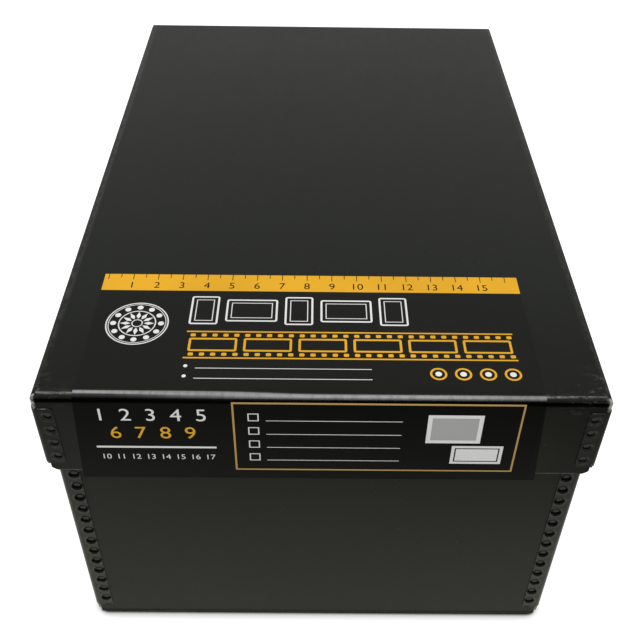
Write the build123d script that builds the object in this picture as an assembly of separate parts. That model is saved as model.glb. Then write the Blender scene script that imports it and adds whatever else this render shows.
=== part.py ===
from build123d import *
import math
import os

# Archival photo box: a tray and a lift-off lid, each folded from one board blank and held at its
# four corners by metal edges whose teeth pierce the board and are clinched over inside.
# Millimetres, +Z up. The front faces -Y, and the origin is the middle of the underside.

# Room inside the tray
inner_width = 196.85
inner_depth = 304.8
inner_height = 141.5

# Board
board = 1.5
fold_radius = 2.8
corner_radius = 2.0
butt_gap = 0.2
tray_trim_across = 5.2
tray_trim_up = 8.5
lid_trim_across = 5.5
lid_trim_up = 7.5
trim_skip = 0.15

# Lid
lid_height = 39.6
lid_gap_sides = 1.5
lid_gap_ends = 1.1
seat_gap = 0.3

# Metal edges
metal = 0.3
metal_width = 7.6
metal_bend_slack = 0.1
metal_tip_radius = 1.0
tray_metal_foot = 7.9
tray_metal_head = 2.4
lid_metal_foot = 4.3
lid_metal_head = 5.9

# Teeth: a dished hole, a tongue bent in from its upper rim, and a leg clinched over inside
tooth_pitch = 7.2
tooth_inset = 5.2
dish_radius = 2.3
dish_depth = 0.45
hole_radius = 1.5
tongue_tilt = 8.0
tongue_radius = 1.35
tongue_rise = 0.45
leg_width = 1.4
leg_drop = 0.35
foot_length = 2.2
pierce_gap = 0.12

# Label: one sheet wrapped over the front edge of the lid
label_paper = 0.15
label_margin_left = 15.2
label_margin_right = 23.9
label_flare = 2.4
label_on_top = 68.9
label_down_front = 43.4
label_bend_slack = 0.2

# What follows from those sizes
tray_width = inner_width + 2 * board
tray_depth = inner_depth + 2 * board
tray_height = inner_height + board
lid_width = tray_width + 2 * (lid_gap_sides + board)
lid_depth = tray_depth + 2 * (lid_gap_ends + board)
box_height = tray_height + seat_gap + board
lid_rim = box_height - lid_height
board_inside = metal + board
dish_back = dish_depth + metal
tongue_root = dish_depth + metal / 2
tongue_slope = math.tan(math.radians(tongue_tilt))
tongue_low = tongue_rise - tongue_radius
tongue_deep = tongue_root + (hole_radius - tongue_low) * tongue_slope + metal / 2

# Each corner by the sides it is on. A quarter turn about +Z leads from one to the next.
corners = {"front_left": (-1, -1), "front_right": (1, -1), "rear_right": (1, 1), "rear_left": (-1, 1)}
from_floor = (Align.CENTER, Align.CENTER, Align.MIN)
inwards = (Align.MIN, Align.CENTER, Align.CENTER)


def at_corner(name, width, depth):
    """Place of a corner, whose own +X and +Y run along the two board faces that meet there."""
    x, y = corners[name]
    return Pos(x * width / 2, y * depth / 2, 0) * Rot(0, 0, 90 * list(corners).index(name))


def tooth_places(low, high):
    """Places of the teeth between the ends of a metal edge. A tooth's own +X runs into the box."""
    count = int((high - low - 2 * dish_radius) / tooth_pitch) + 1
    first = (low + high - (count - 1) * tooth_pitch) / 2
    places = []
    for index in range(count):
        level = first + index * tooth_pitch
        places.append(Pos(tooth_inset, -metal, level) * Rot(0, 0, 90))
        places.append(Pos(-metal, tooth_inset, level))
    return places


def round_body(start_radius, end_radius, start, end):
    """Round body along +X."""
    if start_radius == end_radius:
        body = Cylinder(start_radius, end - start)
    else:
        body = Cone(start_radius, end_radius, end - start)
    return Pos((start + end) / 2, 0, 0) * Rot(0, 90, 0) * body


def tooth_hollow():
    """What the punch opens in the metal: the hollow of the dish, and the hole in its bottom."""
    hollow = round_body(dish_radius, hole_radius, 0, dish_depth)
    return hollow + round_body(hole_radius, hole_radius, dish_depth, dish_back)


def tongue():
    """Tongue that slopes inwards from the upper rim of the hole, with its leg and clinched foot."""
    disc = Pos(0, 0, tongue_rise) * round_body(tongue_radius, tongue_radius, 0, board_inside)
    sheet = Box(metal, 4 * hole_radius, 8 * hole_radius)
    blade = disc & (Pos(tongue_root, 0, hole_radius) * Rot(0, -tongue_tilt, 0) * sheet)
    leg_start = tongue_root + (hole_radius + leg_drop) * tongue_slope
    leg = Box(board_inside + metal - leg_start, leg_width, metal, align=inwards)
    foot = Box(metal, leg_width, foot_length, align=(Align.MIN, Align.CENTER, Align.MIN))
    return blade + Pos(leg_start, 0, -leg_drop) * leg + Pos(board_inside, 0, -leg_drop - metal / 2) * foot


def piercing():
    """What a tooth clears in the board: a pocket for its dish and tongue, and a slot for its leg."""
    pocket_radius = dish_radius + pierce_gap
    pocket = round_body(pocket_radius, pocket_radius, 0, tongue_deep + pierce_gap)
    slot = Box(2 * board, leg_width + 2 * pierce_gap, metal + 2 * pierce_gap, align=inwards)
    return pocket + Pos(tongue_deep, 0, -leg_drop) * slot


def corner_offcuts(across, up, low):
    """What is cut off the lower corners of the two panels that meet at a corner, to round them."""
    centre_across = across - trim_skip
    centre_up = up - trim_skip
    block = Box(centre_across + board, butt_gap + 2 * board, centre_up + board, align=Align.MIN)
    block = Pos(-board, -board, -board) * block
    rounding = Plane.XZ * Pos(centre_across, centre_up) * Ellipse(across, up)
    offcut = Pos(0, 0, low) * (block - extrude(rounding, 4 * board, both=True))
    return [offcut, mirror(offcut, about=Plane(origin=(0, 0, 0), z_dir=(1, -1, 0)))]


def upright_at_corner(post):
    """Upright edge of a post that stands at the corner itself."""
    return post.edges().filter_by(Axis.Z).sort_by(lambda edge: edge.center().X + edge.center().Y)[0]


def front_top_edge(block):
    """Edge of a block along X, at its front and top."""
    return block.edges().filter_by(Axis.X).sort_by(lambda edge: edge.center().Z - edge.center().Y)[-1]


def metal_edge(low, high, offcuts):
    """Metal edge of one corner, its own +X and +Y along the two board faces."""
    bend = corner_radius - metal_bend_slack
    reach = metal_width + metal
    outside = Pos(-metal, -metal, low) * Box(reach, reach, high - low, align=Align.MIN)
    outside = fillet(upright_at_corner(outside), bend + metal)
    inside = Pos(0, 0, low) * Box(reach, reach, high - low, align=Align.MIN)
    inside = fillet(upright_at_corner(inside), bend)
    sheet = outside - inside
    tips = [edge for edge in sheet.edges() if abs(edge.length - metal) < metal / 10]
    sheet = fillet(tips, metal_tip_radius) - offcuts
    places = tooth_places(low, high)
    dish = round_body(dish_radius, hole_radius, metal, dish_back)
    sheet = sheet + [place * dish for place in places]
    sheet = sheet - [place * tooth_hollow() for place in places]
    return sheet + [place * tongue() for place in places]


def folded_blank(width, depth, height):
    """Board folded up on four sides, floor down, before it is slit, trimmed and pierced."""
    posts = Box(width, depth, height, align=from_floor)
    posts = fillet(posts.edges().filter_by(Axis.Z), corner_radius)
    folds = Box(width, depth, height, align=from_floor)
    folds = fillet(folds.faces().sort_by(Axis.Z)[0].edges(), fold_radius)
    inside = Pos(0, 0, board) * Box(width - 2 * board, depth - 2 * board, height, align=from_floor)
    inside = fillet(inside.faces().sort_by(Axis.Z)[0].edges(), fold_radius - board)
    return (posts & folds) - inside


def butt_slits(width, depth, low, high):
    """Gaps at the corners, where the side panels end behind the front and rear panels."""
    slit = Box(3 * board, butt_gap, high - low, align=from_floor)
    middle = depth / 2 - board - butt_gap / 2
    return [Pos(x * width / 2, y * middle, low) * slit for x, y in corners.values()]


def at_corners(width, depth, shapes):
    """Copies of some shapes at all four corners."""
    return [at_corner(name, width, depth) * shape for name in corners for shape in shapes]


def piercings(low, high):
    """Cuts at one corner for the teeth of its metal edge."""
    cut = piercing()
    return [place * cut for place in tooth_places(low, high)]


def tray_board():
    """Board of the tray."""
    blank = folded_blank(tray_width, tray_depth, tray_height)
    blank = blank - butt_slits(tray_width, tray_depth, board, tray_height)
    blank = blank - at_corners(tray_width, tray_depth, tray_offcuts)
    return blank - at_corners(tray_width, tray_depth, piercings(*tray_metal_span))


def lid_board():
    """Board of the lid, which is folded like the tray and turned over."""
    blank = Pos(0, 0, box_height) * Rot(180, 0, 0) * folded_blank(lid_width, lid_depth, lid_height)
    blank = blank - butt_slits(lid_width, lid_depth, lid_rim, box_height - board)
    blank = blank - at_corners(lid_width, lid_depth, lid_offcuts)
    return blank - at_corners(lid_width, lid_depth, piercings(*lid_metal_span))


def wrapped_label():
    """Label on the top and down the front of the lid, past its rim, where it widens a little."""
    left = label_margin_left - lid_width / 2
    right = lid_width / 2 - label_margin_right
    length = right - left + 2 * label_flare
    bend = fold_radius - label_bend_slack
    outside = Box(length, label_on_top + label_paper, label_down_front + label_paper, align=Align.MIN)
    outside = fillet(front_top_edge(outside), bend + label_paper)
    inside = Pos(0, label_paper, 0) * Box(length, label_on_top, label_down_front, align=Align.MIN)
    inside = fillet(front_top_edge(inside), bend)
    low = box_height - label_down_front
    sheet = Pos(left - label_flare, -lid_depth / 2 - label_paper, low) * (outside - inside)
    top = box_height + 2 * label_paper
    bend_end = box_height - bend
    outline = Polygon((left, top), (left, bend_end), (left - label_flare, low), (right + label_flare, low),
                      (right, bend_end), (right, top), align=None)
    return sheet & extrude(Plane.XZ * outline, lid_depth)


tray_metal_span = (tray_metal_foot, tray_height - tray_metal_head)
lid_metal_span = (lid_rim + lid_metal_foot, box_height - lid_metal_head)
tray_offcuts = corner_offcuts(tray_trim_across, tray_trim_up, 0)
lid_offcuts = corner_offcuts(lid_trim_across, lid_trim_up, lid_rim)
parts = {"tray_board": tray_board(), "lid_board": lid_board(), "label": wrapped_label()}
tray_edge = metal_edge(*tray_metal_span, tray_offcuts)
lid_edge = metal_edge(*lid_metal_span, lid_offcuts)
for corner in corners:
    parts["tray_corner_" + corner] = at_corner(corner, tray_width, tray_depth) * tray_edge
    parts["lid_corner_" + corner] = at_corner(corner, lid_width, lid_depth) * lid_edge

os.makedirs("parts", exist_ok=True)
for name, shape in parts.items():
    export_step(shape, "parts/" + name + ".step")
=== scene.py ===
import math

import bpy
from mathutils import Matrix, Vector


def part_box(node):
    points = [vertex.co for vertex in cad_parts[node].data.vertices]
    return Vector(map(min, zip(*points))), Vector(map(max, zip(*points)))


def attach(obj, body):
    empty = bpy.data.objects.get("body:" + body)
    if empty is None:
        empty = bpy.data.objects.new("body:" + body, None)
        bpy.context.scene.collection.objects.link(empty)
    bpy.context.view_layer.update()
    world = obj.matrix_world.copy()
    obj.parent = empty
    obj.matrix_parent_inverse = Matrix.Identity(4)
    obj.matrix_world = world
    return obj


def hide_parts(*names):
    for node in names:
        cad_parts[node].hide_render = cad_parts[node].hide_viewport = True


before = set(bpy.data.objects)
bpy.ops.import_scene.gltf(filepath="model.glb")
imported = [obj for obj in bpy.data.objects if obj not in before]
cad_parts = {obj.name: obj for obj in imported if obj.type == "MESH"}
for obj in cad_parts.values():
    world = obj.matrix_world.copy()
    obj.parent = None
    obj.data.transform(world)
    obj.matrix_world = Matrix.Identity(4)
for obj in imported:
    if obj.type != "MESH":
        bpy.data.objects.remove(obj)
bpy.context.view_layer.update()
mm = 0.001


# shader maths

class Wire:  # an output socket that can stand in a sum, as in wire * 2, 1 - wire or wire < 0.5
    def __init__(self, finish, socket):
        self.finish = finish
        self.socket = socket

    def calc(self, operation, *values):
        return self.finish.node("ShaderNodeMath", {"operation": operation}, dict(enumerate(values)))

    def __add__(self, other):
        return self.calc("ADD", self, other)

    def __radd__(self, other):
        return self.calc("ADD", other, self)

    def __sub__(self, other):
        return self.calc("SUBTRACT", self, other)

    def __rsub__(self, other):
        return self.calc("SUBTRACT", other, self)

    def __mul__(self, other):
        return self.calc("MULTIPLY", self, other)

    def __rmul__(self, other):
        return self.calc("MULTIPLY", other, self)

    def __pow__(self, other):
        return self.calc("POWER", self, other)

    def __rpow__(self, other):
        return self.calc("POWER", other, self)

    def __lt__(self, other):
        return self.calc("LESS_THAN", self, other)

    def __gt__(self, other):
        return self.calc("GREATER_THAN", self, other)

    def __abs__(self):
        return self.calc("ABSOLUTE", self)

    def atMost(self, other):
        return self.calc("MINIMUM", self, other)

    def atLeast(self, other):
        return self.calc("MAXIMUM", self, other)

    def repeat(self, low, high):  # runs from low to high over and over
        return self.calc("WRAP", self, high, low)

    def ramp(self, start, end, low=0.0, high=1.0):  # soft step between two values of this wire
        return self.finish.node("ShaderNodeMapRange", {"interpolation_type": "SMOOTHSTEP"},
                                {0: self, 1: start, 2: end, 3: low, 4: high})


class Finish:  # one material or world, and the nodes that make it
    def __init__(self, owner):
        owner.use_nodes = True
        self.owner = owner
        self.tree = owner.node_tree
        self.tree.nodes.clear()

    def node(self, kind, settings=None, sockets=None, out=0):
        made = self.tree.nodes.new(kind)
        for name, value in (settings or {}).items():
            setattr(made, name, value)
        for name, value in (sockets or {}).items():
            if isinstance(value, Wire):
                self.tree.links.new(value.socket, made.inputs[name])
            elif made.inputs[name].type == "RGBA":
                made.inputs[name].default_value = (*value, 1)
            else:
                made.inputs[name].default_value = value
        return Wire(self, made.outputs[out]) if made.outputs else None

    def place(self):  # where a point is on the object in metres, as one vector and as x, y and z
        spot = self.node("ShaderNodeTexCoord", out="Object")
        return spot, [self.node("ShaderNodeSeparateXYZ", sockets={0: spot}, out=axis) for axis in range(3)]

    def noise(self, spot, scale, detail=3.0, roughness=0.5, stretch=None):
        if stretch:
            spot = self.node("ShaderNodeVectorMath", {"operation": "MULTIPLY"}, {0: spot, 1: stretch})
        return self.node("ShaderNodeTexNoise", {"noise_dimensions": "3D"},
                         {"Vector": spot, "Scale": scale, "Detail": detail, "Roughness": roughness})

    def specks(self, spot, scale, size):  # round specks scattered on the surface, 1 inside each
        far = self.node("ShaderNodeTexVoronoi", {"feature": "F1"}, {"Vector": spot, "Scale": scale})
        return far < size

    def blend(self, mask, low, high):  # two colours
        return self.node("ShaderNodeMix", {"data_type": "RGBA", "clamp_factor": True},
                         {0: mask, 6: low, 7: high}, out=2)

    def mix(self, mask, low, high):  # two shaders
        return self.node("ShaderNodeMixShader", sockets={0: mask, 1: low, 2: high})

    def bump(self, height, strength, distance, under=None):
        sockets = {"Height": height, "Strength": strength, "Distance": distance}
        if under:
            sockets["Normal"] = under
        return self.node("ShaderNodeBump", sockets=sockets)

    def shader(self, sockets):
        return self.node("ShaderNodeBsdfPrincipled", {"distribution": "GGX"}, sockets)

    def dull(self, colour):  # a shader with no shine at all
        return self.shader({"Base Color": colour, "Roughness": 0.9, "Specular IOR Level": 0.0})

    def surface(self, shader):
        kind = "World" if isinstance(self.owner, bpy.types.World) else "Material"
        self.node("ShaderNodeOutput" + kind, sockets={"Surface": shader})
        return self.owner


# camera

cameraView = {
    "lens": 50.842,
    "sensor": 36,
    "nearest": 0.01,
    "place": (-3.5 * mm, -374.81 * mm, 374.65 * mm),
    "pitch": 0.7234,
    "yaw": 0.0104,
    "roll": 0.0162,
}


def setCamera(view):
    data = bpy.data.cameras.new("photoView")
    data.lens = view["lens"]
    data.sensor_width = view["sensor"]
    data.clip_start = view["nearest"]
    camera = bpy.data.objects.new("photoView", data)
    bpy.context.scene.collection.objects.link(camera)
    pitch, yaw, roll = view["pitch"], view["yaw"], view["roll"]
    ahead = Vector((math.sin(yaw) * math.cos(pitch), math.cos(yaw) * math.cos(pitch), -math.sin(pitch)))
    right = ahead.cross(Vector((0, 0, 1))).normalized()
    up = right.cross(ahead)
    turnedRight = math.cos(roll) * right + math.sin(roll) * up
    turnedUp = math.cos(roll) * up - math.sin(roll) * right
    turned = Matrix((turnedRight, turnedUp, -ahead)).transposed().to_4x4()
    camera.matrix_world = Matrix.Translation(view["place"]) @ turned
    bpy.context.scene.camera = camera


setCamera(cameraView)
print("camera set")


# where things are

lidLow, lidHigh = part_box("lid_board")
trayLow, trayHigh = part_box("tray_board")
labelLow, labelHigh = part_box("label")
lidMetalLow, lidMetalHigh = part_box("lid_corner_front_left")
trayMetalLow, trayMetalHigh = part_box("tray_corner_front_left")
foldRadius = 2.8 * mm


def addMesh(name, verts, faces, body, material, smooth=True):
    mesh = bpy.data.meshes.new(name)
    mesh.from_pydata(verts, [], faces)
    mesh.validate()
    mesh.update()
    if smooth:
        mesh.shade_smooth()
    mesh.materials.append(material)
    piece = bpy.data.objects.new(name, mesh)
    bpy.context.scene.collection.objects.link(piece)
    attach(piece, body)
    return piece


# the lid's front fold: bumps shade board and label as if they bend early at its left half and at its right
# end

frontFold = {
    "leftHalf": (-35 * mm, 0, 1.0, 0.25),  # along x: from, to, and how early at each
    "rightEnd": (74 * mm, 88 * mm),
    "start": (-2.2 * mm, 1.6 * mm, 0.0, -0.7),  # round the fold: from, to, and how high at each
    "bump": (1.0, 1.0 * mm),  # strength and depth
}


def earlyBend(x, front, level):
    early = x.ramp(*frontFold["leftHalf"]).atLeast(x.ramp(*frontFold["rightEnd"]))
    return (level - front + foldRadius).ramp(*frontFold["start"]) * early


# black board

boardLook = {
    "black": (0.0058, 0.0066, 0.0040),
    "brown": (0.0072, 0.0076, 0.0044),
    "dustAndSheen": (0.0112, 0.0128, 0.0102),
    "fleck": (0.05, 0.05, 0.046),
    "worn": (0.03, 0.03, 0.028),
    "scuff": (0.11, 0.11, 0.105),
    "rubbedAndHighlight": (0.36, 0.36, 0.345),
    "creaseShade": (0.0008, 0.0008, 0.0008),
    "specular": 0.105,
    "roughness": 0.42,
    "fibreRoughness": 0.14,
    "cloudRoughness": 0.04,
    "shine": 0.2,
    "shineIor": 2.5,
    "grain": {"scale": 1100.0, "detail": 4.0, "roughness": 0.6},
    "fibre": {"scale": 260.0, "detail": 5.0, "roughness": 0.65, "stretch": (1.0, 0.45, 1.0)},
    "cloud": {"scale": 14.0, "detail": 2.0},
    "wrinkle": {"scale": 420.0, "detail": 3.0, "roughness": 0.7},
    "crumple": {"scale": 160.0, "detail": 3.0, "roughness": 0.6, "stretch": (0.6, 1.6, 1.6)},
    "scratch": {"scale": 520.0, "detail": 6.0, "roughness": 0.8, "stretch": (0.35, 1.0, 1.0)},
    "flecks": {"scale": 230.0, "size": 0.055},
    "grainBump": (0.6, 0.05 * mm),  # strength and depth
    "fibreBump": (0.5, 0.05 * mm),
    "dentBump": (0.2, 1.2 * mm),
    "crumpleBump": (0.6, 0.5 * mm),
    "wornAmount": 0.6,
    "foldGloss": 0.42,
    "foldBroken": 0.5,
    "cornerGloss": 0.9,
    "creaseShadeAmount": 1.0,
    "handled": 1.0,
}
trayBoardLook = {
    **boardLook,
    "foldGloss": 0.1,
    "cornerGloss": 0.4,
    "creaseShadeAmount": 0.6,
    "crumpleBump": (0.3, 0.5 * mm),
    "handled": 0.0,
}

# how far in from an edge, or where along x or y, each mark fades: from, to, and its strength at each
boardWear = {
    "wornEdge": (1.5 * mm, 0.7 * mm),
    "dustAndSheenEdge": (0.5 * mm, 3.0 * mm),
    "dustAndSheenToRear": (-155 * mm, -80 * mm, 0.4, 1.0),
    "frontDustAndLightLeft": (-82 * mm, -90 * mm),
    "frontDustAndLightFace": (2.0 * mm, 1.0 * mm),
    "frontDustAndLightFold": (2.5 * mm, 6.0 * mm, 0.0, 0.8),
    "scuffCorner": (22 * mm, 4 * mm),
    "scuffFold": (11 * mm, 1 * mm),
    "scuffToRight": (-50 * mm, 50 * mm, 0.3, 1.0),
    "rim": (0.6 * mm, 0.3 * mm),
    "burnishStart": (-0.5 * mm, 1.0 * mm),  # it starts anywhere between these
    "burnishEnds": (78 * mm, 94 * mm, 0.0, 1.3 * mm),
    "burnishFace": (0, 1.2 * mm),
    "burnishFold": (4.2 * mm, 3.0 * mm),
    "burnishSide": (3.4 * mm, 2.4 * mm, 0.25, 1.0),
    "burnishToLeft": (-70 * mm, -90 * mm, 1.0, 1.6),
    "crushed": (40 * mm, 8 * mm),
    "crushedMore": (0.6, 1.6),  # crumples away from a corner, and at it
    "crushedFold": (4.0 * mm, 2.0 * mm),
    "bareCorner": (2.3 * mm, 1.4 * mm),
    "pastMetal": (0.3 * mm, -0.6 * mm),  # from the end of the metal
    "rubbedAndHighlightCorner": (2.1 * mm, 1.3 * mm),
    "creaseShadeStart": (1.0 * mm, 1.5 * mm),
    "creaseShadeEnd": (5.0 * mm, 1.6 * mm),
    "creaseShadeCorner": (1.6 * mm, 2.6 * mm),
    "bendSide": (1.0 * mm, 3.0 * mm),
}


def boardFinish(name, look, low, high, foldLevel, foldSide, metalEnd):
    finish = Finish(bpy.data.materials.new(name))
    wear = boardWear
    spot, (x, y, z) = finish.place()
    # distance from the outer faces, and from the folded edges where two of them meet
    across, along = high.x - abs(x), high.y - abs(y)
    side = across.atMost(along)
    level = (foldLevel - z) * foldSide
    fold = side.atLeast(level)
    upright = across.atLeast(along)
    edge = fold.atMost(upright)

    textures = [finish.noise(spot, **look[texture])
                for texture in ("grain", "fibre", "cloud", "wrinkle", "crumple", "scratch")]
    grain, fibre, cloud, wrinkle, crumple, scratch = textures

    # dust with painted sheen lies on the top, stronger to the rear; dust with painted light from the left
    # lies on the front, left of the label; flecks and scuffs come over it
    colour = finish.blend(cloud.ramp(0.35, 0.65), look["black"], look["brown"])
    dustAndSheen = (side - level).ramp(*wear["dustAndSheenEdge"]) * y.ramp(*wear["dustAndSheenToRear"])
    frontDustAndLight = x.ramp(*wear["frontDustAndLightLeft"]) * along.ramp(*wear["frontDustAndLightFace"])
    dustAndSheen = dustAndSheen.atLeast(frontDustAndLight * level.ramp(*wear["frontDustAndLightFold"]))
    colour = finish.blend(dustAndSheen * look["handled"], colour, look["dustAndSheen"])
    flecks = finish.specks(spot, **look["flecks"]) * cloud.ramp(0.5, 0.6)
    colour = finish.blend(flecks, colour, look["fleck"])
    worn = edge.ramp(*wear["wornEdge"]) * wrinkle.ramp(0.5, 0.72)
    colour = finish.blend(worn * look["wornAmount"], colour, look["worn"])
    scuffed = scratch.ramp(0.53, 0.64) * upright.ramp(*wear["scuffCorner"]) * fold.ramp(*wear["scuffFold"])
    scuffed = scuffed * look["handled"] * x.ramp(*wear["scuffToRight"])
    colour = finish.blend(scuffed, colour, look["scuff"])
    rim = (z - low.z).ramp(*wear["rim"]) * fibre.ramp(0.3, 0.6, 0.3, 0.8) * look["handled"]
    colour = finish.blend(rim, colour, look["scuff"])
    roughness = look["roughness"] + (fibre - 0.5) * look["fibreRoughness"]
    roughness = roughness + (cloud - 0.5) * look["cloudRoughness"]

    # the fold is burnished above, and painted crease shade darkens it below; its shine is broken up near the
    # corners
    start = crumple.ramp(0.35, 0.65, *wear["burnishStart"]) + abs(x).ramp(*wear["burnishEnds"])
    burnish = (side - level - start).ramp(*wear["burnishFace"]) * fold.ramp(*wear["burnishFold"])
    broken = 1 - upright.ramp(*wear["crushed"]) * crumple.ramp(0.54, 0.44) * look["foldBroken"]
    burnish = burnish * broken * wrinkle.ramp(0.3, 0.65, 0.3, 1.0) * along.ramp(*wear["burnishSide"])
    burnish = burnish * x.ramp(*wear["burnishToLeft"])
    creaseShade = level.ramp(*wear["creaseShadeStart"]) * level.ramp(*wear["creaseShadeEnd"])
    creaseShade = creaseShade * upright.ramp(*wear["creaseShadeCorner"])
    creaseShade = creaseShade * crumple.ramp(0.2, 0.5, 0.6, 1.0) * look["creaseShadeAmount"]

    # the corner past the end of the metal is bare and shiny, and rubbed pale with a painted highlight
    covered, uncovered = wear["pastMetal"]
    bareCorner = upright.ramp(*wear["bareCorner"]) * level.ramp(metalEnd + covered, metalEnd + uncovered)
    gloss = (burnish * look["foldGloss"]).atLeast(bareCorner * look["cornerGloss"])
    rubbedAndHighlight = upright.ramp(*wear["rubbedAndHighlightCorner"]) * bareCorner * wrinkle.ramp(0.4, 0.56, 0.25, 1.0)
    colour = finish.blend(rubbedAndHighlight * look["handled"], colour, look["rubbedAndHighlight"])

    dents = finish.bump(cloud, *look["dentBump"])
    crushed = crumple * upright.ramp(*wear["crushed"], *wear["crushedMore"]) * fold.ramp(*wear["crushedFold"])
    folds = finish.bump(crushed, *look["crumpleBump"], dents)
    if foldSide > 0:
        bend = earlyBend(x, y - low.y, level) * across.ramp(*wear["bendSide"])
        folds = finish.bump(bend, *frontFold["bump"], folds)
    paper = finish.bump(fibre, *look["fibreBump"], folds)
    normal = finish.bump(grain, *look["grainBump"], paper)

    matt = finish.shader({"Base Color": colour, "Roughness": roughness, "Normal": normal,
                          "Specular IOR Level": look["specular"]})
    shiny = finish.shader({"Base Color": colour, "Roughness": look["shine"], "Normal": folds,
                           "IOR": look["shineIor"]})
    board = finish.mix(gloss, matt, shiny)
    # painted shade: the crease mixes toward a dull black with no shine
    return finish.surface(finish.mix(creaseShade, board, finish.dull(look["creaseShade"])))


lidBoard = boardFinish("blackBoardLid", boardLook, lidLow, lidHigh, lidHigh.z, 1.0,
                       lidHigh.z - lidMetalHigh.z)
trayBoard = boardFinish("blackBoardTray", trayBoardLook, trayLow, trayHigh, trayLow.z, -1.0,
                        trayMetalLow.z - trayLow.z)


# metal edges

metalLook = {
    "paint": (0.0118, 0.0125, 0.0098),
    "thickPaint": (0.016, 0.017, 0.013),
    "bareAndHighlight": (0.16, 0.155, 0.145),
    "rubbedAndHighlight": (0.42, 0.41, 0.39),
    "grimeAndShade": (0.0008, 0.0008, 0.0008),
    "specular": 0.18,
    "roughness": 0.4,
    "scuffRoughness": 0.2,
    "peel": {"scale": 700.0, "detail": 2.0},
    "peelBump": (0.35, 0.03 * mm),  # strength and depth
    "scuff": {"scale": 330.0, "detail": 6.0, "roughness": 0.75, "stretch": (1.0, 1.0, 0.35)},
    "wear": {"scale": 55.0, "detail": 2.0},
    "pitch": 7.2 * mm,
    "inset": 5.2 * mm,
    "width": 7.6 * mm,
    "dish": 2.3 * mm,
    # rings round each tooth, in shares of its dish's radius: start, full, full, end
    "rimRing": (0.6, 0.8, 1.0, 1.25),
    "haloRing": (0.95, 1.08, 1.25, 1.5),
    "dirtAndShadeRing": (0.52, 0.66, 0.8, 1.0),
    "arcRing": (0.6, 0.74, 1.18, 1.32),
    "dishEdge": (1.05, 0.9),  # from, to
    # upwards from a tooth's middle: from, to, and how much at each
    "rimWearAndHighlight": (0.2 * mm, -1.6 * mm, 0.0, 0.16),
    "dirtAndShadeUp": (-1.9 * mm, -0.6 * mm, 0.3, 1.0),
    "arcUp": (0.9 * mm, 2.2 * mm),
    "arcLean": 0.7,
    "headWearAndHighlight": (-0.12 * mm, -0.02 * mm),
    "headToLeft": (-103 * mm, -90 * mm, 0.9, 0.3),
    "edgeWidth": 0.2 * mm,
    "edgeWearAndLight": 0.15,
    "bareAndHighlightAmount": 0.5,
    "bareMetallic": 0.6,
    "halo": 0.14,
    "dirtAndShade": 0.9,
    "arc": 0.75,
    "dishWearAndHighlight": 0.0,
}
# painted shade: the lid's metal is a darker copy of the same paint, with fainter painted shade and highlights
# at its teeth
lidMetalLook = {
    **metalLook,
    "paint": (0.0085, 0.0090, 0.0072),
    "thickPaint": (0.011, 0.0117, 0.0092),
    "specular": 0.155,
    "halo": 0.06,
    "dirtAndShade": 0.15,
    "arc": 0.5,
    "dishWearAndHighlight": 0.12,
}


def metalFinish(name, look, boardHigh, metalLow, metalHigh):
    finish = Finish(bpy.data.materials.new(name))
    spot, (x, y, z) = finish.place()
    # the teeth are spaced evenly along the metal, and far is the distance to the middle of the nearest
    dish, pitch = look["dish"], look["pitch"]
    gaps = int((metalHigh.z - metalLow.z - 2 * dish) / pitch)
    firstTooth = (metalLow.z + metalHigh.z - gaps * pitch) / 2
    across = (boardHigh.x - abs(x)).atLeast(boardHigh.y - abs(y)) - look["inset"]
    up = (z - firstTooth).repeat(-pitch / 2, pitch / 2)
    far = (across * across + up * up) ** 0.5

    def ring(start, full, stillFull, end):
        return far.ramp(dish * end, dish * stillFull) * far.ramp(dish * start, dish * full)

    peel, scuff, wear = [finish.noise(spot, **look[texture]) for texture in ("peel", "scuff", "wear")]
    rim = ring(*look["rimRing"])
    # bare patches are wear, and at each dish's lower rim also a painted highlight
    bareAndHighlight = (scuff + rim * up.ramp(*look["rimWearAndHighlight"])).ramp(0.63, 0.74) * (wear + rim * 0.2).ramp(0.45, 0.6)
    colour = finish.blend(wear.ramp(0.4, 0.6), look["paint"], look["thickPaint"])
    colour = finish.blend(bareAndHighlight * look["bareAndHighlightAmount"], colour, look["bareAndHighlight"])

    # paint is thin along the sheet's edge, where painted light lifts the edge's shade; a painted highlight
    # rings each dish and, on the lid, fills it; the sheet's upper end is rubbed off, with a painted highlight
    margin = look["width"] - look["inset"]
    thinPaintAndHighlight = across.ramp(margin - look["edgeWidth"], margin) * look["edgeWearAndLight"]
    thinPaintAndHighlight = thinPaintAndHighlight + ring(*look["haloRing"]) * look["halo"]
    outer, inner = look["dishEdge"]
    thinPaintAndHighlight = thinPaintAndHighlight + far.ramp(dish * outer, dish * inner) * look["dishWearAndHighlight"]
    colour = finish.blend(thinPaintAndHighlight, colour, look["bareAndHighlight"])
    # painted highlight and wear: the sheet's upper end is rubbed pale, more on the left
    headWearAndHighlight = (z - metalHigh.z).ramp(*look["headWearAndHighlight"]) * scuff.ramp(0.4, 0.55) * x.ramp(*look["headToLeft"])
    colour = finish.blend(headWearAndHighlight, colour, look["rubbedAndHighlight"])
    paint = finish.shader({"Base Color": colour, "Specular IOR Level": look["specular"],
                           "Roughness": look["roughness"] + (scuff - 0.5) * look["scuffRoughness"],
                           "Metallic": bareAndHighlight * look["bareMetallic"],
                           "Normal": finish.bump(peel, *look["peelBump"])})

    # grime and painted shade lie in each dish, and in an arc over it
    dirtAndShade = ring(*look["dirtAndShadeRing"]) * up.ramp(*look["dirtAndShadeUp"])
    arc = ring(*look["arcRing"]) * (up + across * look["arcLean"]).ramp(*look["arcUp"])
    arc = arc * (scuff + wear).ramp(0.75, 1.05, 0.5, 1.0)
    grimeAndShade = (dirtAndShade * look["dirtAndShade"]).atLeast(arc * look["arc"])
    return finish.surface(finish.mix(grimeAndShade, paint, finish.dull(look["grimeAndShade"])))


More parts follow.
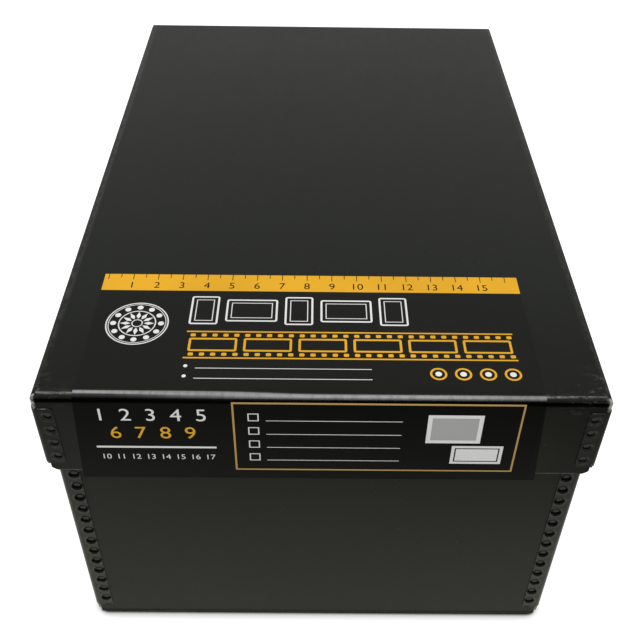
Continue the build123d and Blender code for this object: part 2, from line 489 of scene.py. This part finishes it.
lidMetal = metalFinish("blackMetalLid", lidMetalLook, lidHigh, lidMetalLow, lidMetalHigh)
trayMetal = metalFinish("blackMetalTray", metalLook, trayHigh, trayMetalLow, trayMetalHigh)
for node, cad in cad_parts.items():
    onLid = node.startswith("lid")
    if node.endswith("board"):
        finish = lidBoard if onLid else trayBoard
    else:  # the metal edges, and the label's solid, which its sheet hides
        finish = lidMetal if onLid else trayMetal
    cad.data.materials.clear()
    cad.data.materials.append(finish)
print("boards and metal edges finished")


# label: a sheet wrapped over the front edge of the lid

labelSheet = {
    "thickness": 0.1 * mm,
    "gap": 0.005 * mm,  # between the board and the sheet's underside
    "flare": 2.4 * mm,
    "columns": 56,  # of faces across it, and their steps along the wrap
    "topStep": 3.5 * mm,
    "foldStep": 0.3 * mm,
    "frontStep": 2.5 * mm,
    "topEnd": 0.4 * mm,
    "frontStart": 0.6 * mm,
    "crispAngle": 50,  # degrees, where shading breaks at an edge
}
foldLength = foldRadius * math.pi / 2
labelLeft = labelLow.x + labelSheet["flare"]
labelRight = labelHigh.x - labelSheet["flare"]


def onTop(y):  # way along the wrap of a line on the lid's top
    return lidLow.y + foldRadius - y


def below(depth):  # way along the wrap of a line this far below the lid's top
    if depth < foldRadius:
        return foldRadius * math.acos(1 - depth / foldRadius)
    return foldLength + depth - foldRadius


wrapStart = onTop(labelHigh.y)
wrapEnd = below(lidHigh.z - labelLow.z)


def wrapped(x, way, lift):  # point on the lid's skin, lifted off it
    foldBack, foldDown = lidLow.y + foldRadius, lidHigh.z - foldRadius
    if way < 0:
        return Vector((x, foldBack - way, lidHigh.z + lift))
    if way < foldLength:
        turn = way / foldRadius
        reach = foldRadius + lift
        return Vector((x, foldBack - reach * math.sin(turn), foldDown + reach * math.cos(turn)))
    return Vector((x, lidLow.y - lift, foldDown - (way - foldLength)))


def spread(start, end, step):
    count = max(1, round((end - start) / step))
    return [start + (end - start) * index / count for index in range(count + 1)]


def wrappedLabel(sheet, material):
    columns = sheet["columns"]
    ways = spread(wrapStart, -sheet["topEnd"], sheet["topStep"]) + spread(0, foldLength, sheet["foldStep"])
    ways += spread(foldLength + sheet["frontStart"], wrapEnd, sheet["frontStep"])
    verts, faces = [], []
    for lift in (sheet["thickness"], sheet["gap"]):
        for way in ways:
            flare = sheet["flare"] * max(0.0, way - foldLength) / (wrapEnd - foldLength)
            for column in range(columns + 1):
                x = labelLeft - flare + (labelRight - labelLeft + 2 * flare) * column / columns
                verts.append(wrapped(x, way, lift))
    rows, wide = len(ways), columns + 1
    back = rows * wide  # the underside's points follow the upper side's
    for row in range(rows - 1):
        for column in range(columns):
            here = row * wide + column
            faces.append((here, here + wide, here + wide + 1, here + 1))
            here += back
            faces.append((here, here + 1, here + wide + 1, here + wide))
    for column in range(columns):
        rear, lower = column, (rows - 1) * wide + column
        faces.append((rear, rear + 1, back + rear + 1, back + rear))
        faces.append((lower, back + lower, back + lower + 1, lower + 1))
    for row in range(rows - 1):
        left, right = row * wide, row * wide + columns
        faces.append((left, back + left, back + left + wide, left + wide))
        faces.append((right, right + wide, back + right + wide, back + right))
    label = addMesh("wrappedLabel", verts, faces, "lid", material)
    label.data.set_sharp_from_angle(angle=math.radians(sheet["crispAngle"]))
    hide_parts("label")


labelLook = {
    "black": (0.0006, 0.0006, 0.0005),
    "dustAndSheen": (0.0124, 0.0130, 0.0110),
    "dustAndSheenEdge": (1.0 * mm, 3.0 * mm),
    "clouding": 1.25,
    "fade": 0.05,
    "specular": 0.055,
    "roughness": 0.38,
    "fineRoughness": 0.12,
    "shine": 0.24,
    "shineIor": 2.5,
    "fine": {"scale": 900.0, "detail": 3.0, "roughness": 0.6},
    "crack": {"scale": 480.0, "detail": 4.0, "roughness": 0.7, "stretch": (1.0, 0.3, 0.3)},
    "cloud": {"scale": 22.0, "detail": 2.0},
    "fineBump": (0.25, 0.02 * mm),  # strength and depth
    "crackBump": (0.5, 0.12 * mm),
    "cloudBump": (0.4, 0.8 * mm),
    "crackFold": (3.4 * mm, 1.5 * mm),
}

# the shine on the label's fold, by x and by the distance from the lid's front or top
foldShine = {
    "gloss": 0.8,
    "reachBack": (-50 * mm, 10 * mm, 1.0 * mm, 0.3 * mm),
    "backFade": (1.0, 0.75),  # in shares of the fold's radius
    "lowEdge": (-0.9 * mm, -0.3 * mm),
    "sway": {"scale": 60.0, "detail": 1.0, "stretch": (1.0, 0.0, 0.0)},
    "swayReach": (-0.25 * mm, 0.25 * mm),
    "lowerLeft": (-30 * mm, 30 * mm, 0.8 * mm, 0),
    "middle": -15 * mm,
    "ends": (30 * mm, 75 * mm),
    "middleDims": (0.5, 1.0, 1.0, 0.75),  # the first two in shares of the fold's radius
    "endsDim": (0, 1.1 * mm, 1.0, 0.6),
    "rightDims": (45 * mm, 75 * mm, 1.0, 0.72),
    "leftStart": (-85 * mm, -45 * mm, 0.35 * mm, 0),
    "leftLow": (2.15 * mm, 1.35 * mm),
    "leftDims": (-80 * mm, 0, 0.92, 0.0),
}


def shineOnFold(finish, look, spot, x, front, level):
    # it reaches further back and down on the left, and its lower edge wavers
    sway = finish.noise(spot, **look["sway"]).ramp(0.3, 0.7, *look["swayReach"]) + x.ramp(*look["lowerLeft"])
    behind, full = look["backFade"]
    back = (front - x.ramp(*look["reachBack"])).ramp(behind * foldRadius, full * foldRadius)
    shine = (front - level + sway).ramp(*look["lowEdge"]) * back
    # it dims to the back in the middle, downwards at the ends, and at the far right and lower left
    ends = abs(x - look["middle"]).ramp(*look["ends"])
    start, end, near, far = look["middleDims"]
    middle = front.ramp(start * foldRadius, end * foldRadius, near, far)
    shade = middle * (1 - ends) + level.ramp(*look["endsDim"]) * ends
    shade = shade * x.ramp(*look["rightDims"])
    lower = (front - x.ramp(*look["leftStart"])).ramp(*look["leftLow"])
    return shine * shade * (1 - lower * x.ramp(*look["leftDims"])) * look["gloss"]


def labelFinish(name, look, ink=None):
    finish = Finish(bpy.data.materials.new(name))
    spot, (x, y, z) = finish.place()
    level = lidHigh.z - z
    front = y - lidLow.y
    fine, crack, cloud = [finish.noise(spot, **look[texture]) for texture in ("fine", "crack", "cloud")]
    plain = ink or look["black"]
    clouded = tuple(part * look["clouding"] for part in plain)
    colour = finish.blend(cloud.ramp(0.3, 0.7) * 0.5, plain, clouded)
    if ink:
        colour = finish.blend(fine.ramp(0.55, 0.75) * look["fade"], colour, look["black"])
    else:
        # dust and painted sheen lighten the top, away from the fold
        colour = finish.blend((front - level).ramp(*look["dustAndSheenEdge"]), colour, look["dustAndSheen"])
    shine = shineOnFold(finish, foldShine, spot, x, front, level)
    gloss = shine * crack.ramp(0.25, 0.6, 0.7, 1.0)

    waves = finish.bump(cloud, *look["cloudBump"])
    waves = finish.bump(earlyBend(x, front, level), *frontFold["bump"], waves)
    cracks = finish.bump(crack * front.atLeast(level).ramp(*look["crackFold"]), *look["crackBump"], waves)
    normal = finish.bump(fine, *look["fineBump"], cracks)
    roughness = look["roughness"] + (fine - 0.5) * look["fineRoughness"]
    matt = finish.shader({"Base Color": colour, "Roughness": roughness, "Normal": normal,
                          "Specular IOR Level": look["specular"]})
    shiny = finish.shader({"Base Color": colour, "Roughness": look["shine"], "Normal": normal,
                           "IOR": look["shineIor"]})
    return finish.surface(finish.mix(gloss, matt, shiny))


wrappedLabel(labelSheet, labelFinish("labelPaper", labelLook))
print("label wrapped")


# what is printed on the label: flat shapes in millimetres, x across and way along the wrap

inks = {
    "yellow": (0.79, 0.41, 0.026),
    "white": (0.8, 0.8, 0.78),
    "gold": (0.52, 0.34, 0.11),
    "grey": (0.42, 0.42, 0.41),
    "black": (0.004, 0.004, 0.004),
}
inkLift = {"first": 0.125 * mm, "over": 0.14 * mm}
outwards = Vector((0, -1, 1))
digitHeight = 0.7  # of the type's own size
cornerPoints = 5


def topLine(y):
    return onTop(y * mm) / mm


def frontLine(depth):
    return below(depth * mm) / mm


def circle(x, way, radius, steps):
    turns = [2 * math.pi * step / steps for step in range(steps)]
    return [(x + radius * math.cos(turn), way - radius * math.sin(turn)) for turn in turns]


def rounded(left, right, start, end, radius, steps):
    points = []
    for x, way, first in ((right, start, 0), (left, start, 90), (left, end, 180), (right, end, 270)):
        middleX = x - radius if x == right else x + radius
        middleWay = way + radius if way == start else way - radius
        for step in range(steps):
            turn = math.radians(first + 90 * step / max(1, steps - 1))
            points.append((middleX + radius * math.cos(turn), middleWay - radius * math.sin(turn)))
    return points


class Print:  # everything that is printed in one ink
    def __init__(self):
        self.points = []
        self.faces = []

    def patch(self, points, faces):
        start = len(self.points)
        self.points += points
        self.faces += [tuple(start + corner for corner in face) for face in faces]

    def bar(self, left, right, start, end):  # with points enough to bend over the fold
        ways = [start, end]
        fold = foldLength / mm
        if end > 0 and start < fold:
            steps = spread(0, fold, labelSheet["foldStep"] / mm)
            ways = sorted(set(ways + [way for way in steps if start < way < end]))
        points = [(x, way) for way in ways for x in (left, right)]
        self.patch(points, [(2 * row, 2 * row + 2, 2 * row + 3, 2 * row + 1) for row in range(len(ways) - 1)])

    def loop(self, outer, inner):  # band between two closed lines of as many points
        count = len(outer)
        sides = [(here, (here + 1) % count) for here in range(count)]
        self.patch(outer + inner, [(here, after, count + after, count + here) for here, after in sides])

    def ring(self, x, way, radius, line, steps=72):
        self.loop(circle(x, way, radius, steps), circle(x, way, radius - line, steps))

    def disc(self, x, way, radius, steps=32):
        self.patch(circle(x, way, radius, steps), [tuple(range(steps))])

    def outline(self, left, right, start, end, line, radius=0.0):
        steps = cornerPoints if radius > 0 else 1
        outer = rounded(left, right, start, end, radius, steps)
        innerRadius = max(0.0, radius - line)
        inner = rounded(left + line, right - line, start + line, end - line, innerRadius, steps)
        self.loop(outer, inner)

    def plate(self, left, right, start, end, radius=0.0):
        points = rounded(left, right, start, end, radius, cornerPoints if radius > 0 else 1)
        self.patch(points, [tuple(range(len(points)))])

    def number(self, value, x, way, height):  # centred on x, standing on way
        curve = bpy.data.curves.new("number", "FONT")
        curve.body = str(value)
        curve.align_x = "CENTER"
        curve.size = height / digitHeight
        shown = bpy.data.objects.new("number", curve)
        mesh = bpy.data.meshes.new_from_object(shown)
        points = [(x + point.co.x, way - point.co.y) for point in mesh.vertices]
        self.patch(points, [tuple(face.vertices) for face in mesh.polygons])
        bpy.data.objects.remove(shown)
        bpy.data.curves.remove(curve)
        bpy.data.meshes.remove(mesh)

    def lay(self, name, lift, material):
        verts = [wrapped(x * mm, way * mm, lift) for x, way in self.points]
        piece = addMesh(name, verts, self.faces, "lid", material, smooth=False)
        for face in piece.data.polygons:
            if face.normal.dot(outwards) < 0:
                face.flip()
        piece.data.update()


scaleArt = {
    "depth": 10.2,
    "zero": -86.0,
    "step": 5,
    "ticks": 33,
    "tickWidth": 0.3,
    "longTick": 3.4,
    "shortTick": 2.2,
    "numberDown": 8.6,
    "numberHeight": 3.7,
}


def printScale(ink, art):  # a bar with a measuring scale in centimetres
    back = wrapStart / mm
    half = art["tickWidth"] / 2
    ink["yellow"].bar(labelLeft / mm, labelRight / mm, back, back + art["depth"])
    for tick in range(art["ticks"]):
        x = art["zero"] + art["step"] * tick
        whole = tick % 2 == 0
        ink["black"].bar(x - half, x + half, back, back + art["longTick" if whole else "shortTick"])
        if whole and 0 < tick < art["ticks"] - 1:
            ink["black"].number(tick // 2, x, back + art["numberDown"], art["numberHeight"])


rosetteArt = {
    "x": -70.5,
    "y": -117.5,
    "radius": 12.0,
    "rings": ((1.0, 0.5), (0.92, 0.3), (0.6, 0.45), (0.18, 0.4)),  # share of the radius, and line
    "petals": 12,
    "tip": 0.55,
    "shoulder": 0.36,
    "shoulderTurn": 0.2,
    "root": 0.21,
    "dots": 0.76,
    "dotRadius": 1.15,
}


def printRosette(ink, art):  # petals and dots in rings
    x, way, radius = art["x"], topLine(art["y"]), art["radius"]

    def spoke(share, turn):
        return x + share * radius * math.cos(turn), way + share * radius * math.sin(turn)

    for share, line in art["rings"]:
        ink["white"].ring(x, way, radius * share, line)
    for petal in range(art["petals"]):
        turn = 2 * math.pi * petal / art["petals"]
        ink["white"].disc(*spoke(art["dots"], turn), art["dotRadius"])
        before = spoke(art["shoulder"], turn + art["shoulderTurn"])
        after = spoke(art["shoulder"], turn - art["shoulderTurn"])
        ink["white"].patch([spoke(art["tip"], turn), before, spoke(art["root"], turn), after], [(0, 1, 2, 3)])


mountArt = {
    "left": -51.0,
    "y": -101.2,
    "count": 5,
    "pitch": 18.3,
    "upright": (11.0, 16.5),
    "lengthwise": (20.0, 13.0),
    "line": 0.75,
    "corner": 1.0,
    "inset": 2,
    "insetLine": 0.35,
}


def printMounts(ink, art):  # a row of mounted prints, upright and lengthwise in turn
    inset = art["inset"]
    firstWide, tallest = art["upright"]
    for index in range(art["count"]):
        wide, deep = art["upright" if index % 2 == 0 else "lengthwise"]
        middle = art["left"] + firstWide / 2 + index * art["pitch"]
        left, right = middle - wide / 2, middle + wide / 2
        first = topLine(art["y"]) + (tallest - deep) / 2
        last = first + deep
        ink["white"].outline(left, right, first, last, art["line"], art["corner"])
        ink["white"].outline(left + inset, right - inset, first + inset, last - inset, art["insetLine"])


filmArt = {
    "left": -51.0,
    "right": 72.0,
    "rear": -121.5,
    "front": -136.5,
    "line": 0.7,
    "hole": (1.9, 1.6),
    "holeCorner": 0.4,
    "holePitch": 4.1,
    "firstHole": 1.6,
    "holeInset": 1.5,
    "frames": 6,
    "frameGap": 1.2,
    "frameInset": 3.9,
    "frameLine": 0.9,
    "frameCorner": 0.8,
}


def printFilm(ink, art):  # a strip of film
    yellow = ink["yellow"]
    left, right = art["left"], art["right"]
    first, last = topLine(art["rear"]), topLine(art["front"])
    yellow.bar(left, right, first, first + art["line"])
    yellow.bar(left, right, last - art["line"], last)
    holeWide, holeDeep = art["hole"]
    for hole in range(int((right - left) / art["holePitch"])):
        x = left + art["firstHole"] + art["holePitch"] * hole
        for way in (first + art["holeInset"], last - art["holeInset"] - holeDeep):
            yellow.plate(x, x + holeWide, way, way + holeDeep, art["holeCorner"])
    gap, inset = art["frameGap"], art["frameInset"]
    wide = (right - left) / art["frames"]
    for index in range(art["frames"]):
        x = left + index * wide
        yellow.outline(x + gap, x + wide - gap, first + inset, last - inset,
                       art["frameLine"], art["frameCorner"])


noteArt = {
    "lines": 2,
    "y": -141.5,
    "pitch": 5.2,
    "left": -46,
    "right": 18,
    "line": 0.3,
    "dotX": -49.6,
    "dotRise": 1.1,
    "dotRadius": 0.75,
    "rings": 4,
    "ringX": 42.0,
    "ringY": -143.5,
    "ringPitch": 9.0,
    "ringRadius": 3.1,
    "ringLine": 0.8,
    "ringDot": 1.2,
}


def printNotes(ink, art):  # lines to write on, each with a dot, and rings beside them
    half = art["line"] / 2
    for line in range(art["lines"]):
        way = topLine(art["y"] - art["pitch"] * line)
        ink["white"].disc(art["dotX"], way - art["dotRise"], art["dotRadius"])
        ink["white"].bar(art["left"], art["right"], way - half, way + half)
    for ring in range(art["rings"]):
        x, way = art["ringX"] + art["ringPitch"] * ring, topLine(art["ringY"])
        ink["yellow"].ring(x, way, art["ringRadius"], art["ringLine"])
        ink["white"].disc(x, way, art["ringDot"])


frameArt = {
    "left": -32.0,
    "right": 72.0,
    "high": 1.9,
    "low": 38.5,
    "line": 0.7,
}


def printFrame(ink, art):  # a gold frame down the front
    line, left, right = art["line"], art["left"], art["right"]
    first, last = frontLine(art["high"]), frontLine(art["low"])
    ink["gold"].bar(left, right, first, first + line)
    ink["gold"].bar(left, right, last - line, last)
    ink["gold"].bar(left, left + line, first + line, last - line)
    ink["gold"].bar(right - line, right, first + line, last - line)


listArt = {
    "rows": 4,
    "first": 11.0,
    "pitch": 7.2,
    "left": -20,
    "right": 29,
    "line": 0.3,
    "box": 4.0,
    "boxLeft": -26.5,
    "boxDrop": 0.4,
    "boxLine": 0.45,
}


def printList(ink, art):  # in the frame, lines with a box to tick on each
    boxLeft, boxRight = art["boxLeft"], art["boxLeft"] + art["box"]
    for row in range(art["rows"]):
        way = frontLine(art["first"] + art["pitch"] * row)
        boxLow = way + art["boxDrop"]
        ink["white"].outline(boxLeft, boxRight, boxLow - art["box"], boxLow, art["boxLine"])
        ink["white"].bar(art["left"], art["right"], way, way + art["line"])


pairArt = {  # left, right, and depth below the lid's top
    "upper": (38, 58, 7.5, 22.5),
    "border": 1.6,
    "lower": (48, 67, 24, 34),
    "inset": 1.2,
    "insetLine": 0.5,
}


def printPair(ink, art):  # beside the list, a grey print with a white border and a white one with a grey line
    left, right, high, low = art["upper"]
    border = art["border"]
    ink["white"].outline(left, right, frontLine(high), frontLine(low), border)
    ink["grey"].plate(left + border, right - border, frontLine(high + border), frontLine(low - border))
    left, right, high, low = art["lower"]
    inset = art["inset"]
    ink["white"].plate(left, right, frontLine(high), frontLine(low))
    ink["grey"].outline(left + inset, right - inset, frontLine(high + inset), frontLine(low - inset),
                        art["insetLine"])


numberArt = {
    "large": range(1, 10),
    "perRow": 5,
    "left": -79.0,
    "pitch": 9.0,
    "indent": 4.5,
    "depth": 11.6,
    "rowPitch": 9.4,
    "height": 6.2,
    "rule": (-82.5, -38.5, 25.4, 26.4),
    "small": range(10, 18),
    "smallLeft": -79.6,
    "smallPitch": 5.5,
    "smallDepth": 32.6,
    "smallHeight": 2.7,
}


def printNumbers(ink, art):  # plain numbers beside the frame, with a rule between large and small
    for index, number in enumerate(art["large"]):
        row, column = divmod(index, art["perRow"])
        x = art["left"] + art["pitch"] * column + art["indent"] * row
        way = frontLine(art["depth"] + art["rowPitch"] * row)
        ink["white" if row == 0 else "yellow"].number(number, x, way, art["height"])
    left, right, high, low = art["rule"]
    ink["white"].bar(left, right, frontLine(high), frontLine(low))
    for index, number in enumerate(art["small"]):
        x = art["smallLeft"] + art["smallPitch"] * index
        ink["white"].number(number, x, frontLine(art["smallDepth"]), art["smallHeight"])


def printLabel():
    ink = {name: Print() for name in inks}
    printScale(ink, scaleArt)
    printRosette(ink, rosetteArt)
    printMounts(ink, mountArt)
    printFilm(ink, filmArt)
    printNotes(ink, noteArt)
    printFrame(ink, frameArt)
    printList(ink, listArt)
    printPair(ink, pairArt)
    printNumbers(ink, numberArt)
    for name, made in ink.items():
        material = labelFinish(name + "Ink", labelLook, inks[name])
        made.lay(name + "Print", inkLift["over" if name == "black" else "first"], material)


printLabel()
print("label printed")


# stage and light

roomLook = {"sky": 0.5, "white": (1.0, 1.0, 1.0)}
floorLook = {
    "paint": (0.86, 0.86, 0.855),
    "glow": 0.62,
    "reach": 4.0,
    "drop": 0.02 * mm,
    "contact": (0.02, 0.02, 0.02),
    "contactReach": 4 * mm,
    "contactSamples": 16,
    "contactOpen": (0.3, 0.65),
    "contactPower": 1.5,
    "poolColour": (1.0, 1.0, 0.88),
    "poolNear": 1.22,
    "poolFar": 0.25,
    "poolEdge": (0.055, 0.16),
    "poolShift": (-100 * mm, 100 * mm, -15 * mm, 15 * mm),
}
softboxLook = {
    "size": (1.9, 0.75),
    "place": (0.0, -0.2, 1.1),
    "radiance": 1.6,
}
cardBlack = (0.01, 0.01, 0.01)
darkCards = (
    {"middle": (0, 0.52, 1.0), "half": (1.0, 0.26), "tilt": 0},
    {"middle": (0, -0.42, 0.2), "half": (1.0, 0.2), "tilt": 90},
)


def seenWhite(finish):  # 1 for rays from the camera, a reflection or a glass
    path = [finish.node("ShaderNodeLightPath", out=name)
            for name in ("Is Camera Ray", "Is Glossy Ray", "Is Transmission Ray")]
    return path[0].atLeast(path[1]).atLeast(path[2])


def flatSheet(name, halfWide, halfDeep, material):
    mesh = bpy.data.meshes.new(name)
    corners = [(x * halfWide, y * halfDeep, 0) for x, y in ((-1, -1), (1, -1), (1, 1), (-1, 1))]
    mesh.from_pydata(corners, [], [(0, 1, 2, 3)])
    mesh.materials.append(material)
    sheet = bpy.data.objects.new(name, mesh)
    bpy.context.scene.collection.objects.link(sheet)
    return sheet


def setRoom(look):
    world = bpy.data.worlds.new("whiteRoom")
    bpy.context.scene.world = world
    finish = Finish(world)
    dim = finish.node("ShaderNodeBackground", sockets={"Color": look["white"], "Strength": look["sky"]})
    white = finish.node("ShaderNodeBackground", sockets={"Color": look["white"]})
    finish.surface(finish.mix(seenWhite(finish), dim, white))


def layFloor(look):
    finish = Finish(bpy.data.materials.new("paleFloor"))
    _, (x, y, _) = finish.place()
    paint = finish.node("ShaderNodeBsdfDiffuse", sockets={"Color": look["paint"]})
    dark = finish.node("ShaderNodeBsdfDiffuse", sockets={"Color": look["contact"]})
    glow = finish.node("ShaderNodeEmission", sockets={"Strength": look["glow"]})
    lit = finish.node("ShaderNodeAddShader", sockets={0: paint, 1: glow})
    # painted contact shadow: it darkens where the box stands on it
    clear = finish.node("ShaderNodeAmbientOcclusion", {"samples": look["contactSamples"]},
                        {"Distance": look["contactReach"]}, out="AO")
    pale = finish.mix(seenWhite(finish) * clear ** look["contactPower"], paint, lit)
    seen = finish.mix(clear.ramp(*look["contactOpen"]), dark, pale)
    # reflections meet a pool of light round the box
    away = (abs(x) - trayHigh.x).atLeast(0.0) ** 2.0 + (abs(y) - trayHigh.y).atLeast(0.0) ** 2.0
    away = away ** 0.5 + x.ramp(*look["poolShift"])
    pool = {"Color": look["poolColour"]}
    near = finish.node("ShaderNodeEmission", sockets={**pool, "Strength": look["poolNear"]})
    far = finish.node("ShaderNodeEmission", sockets={**pool, "Strength": look["poolFar"]})
    mirrored = finish.mix(away.ramp(*look["poolEdge"]), near, far)
    glossy = finish.node("ShaderNodeLightPath", out="Is Glossy Ray")
    material = finish.surface(finish.mix(glossy, seen, mirrored))
    floor = flatSheet("floor", look["reach"], look["reach"], material)
    floor.location.z = -look["drop"]


def hangSoftbox(look):
    data = bpy.data.lights.new("softbox", "AREA")
    data.shape = "RECTANGLE"
    data.size, data.size_y = look["size"]
    data.energy = look["radiance"] * math.pi * data.size * data.size_y
    softbox = bpy.data.objects.new("softbox", data)
    bpy.context.scene.collection.objects.link(softbox)
    softbox.location = look["place"]


def hangCards(cards):  # dark cards that only reflections see, as beside a real softbox
    finish = Finish(bpy.data.materials.new("blackCard"))
    black = finish.surface(finish.node("ShaderNodeBsdfDiffuse", sockets={"Color": cardBlack}))
    for index, look in enumerate(cards):
        card = flatSheet(f"darkCard{index}", *look["half"], black)
        card.location = look["middle"]
        card.rotation_euler.x = math.radians(look["tilt"])
        card.visible_camera = card.visible_diffuse = card.visible_shadow = card.visible_transmission = False


bpy.context.scene.view_settings.view_transform = "Standard"
setRoom(roomLook)
layFloor(floorLook)
hangSoftbox(softboxLook)
hangCards(darkCards)
print("studio lit")
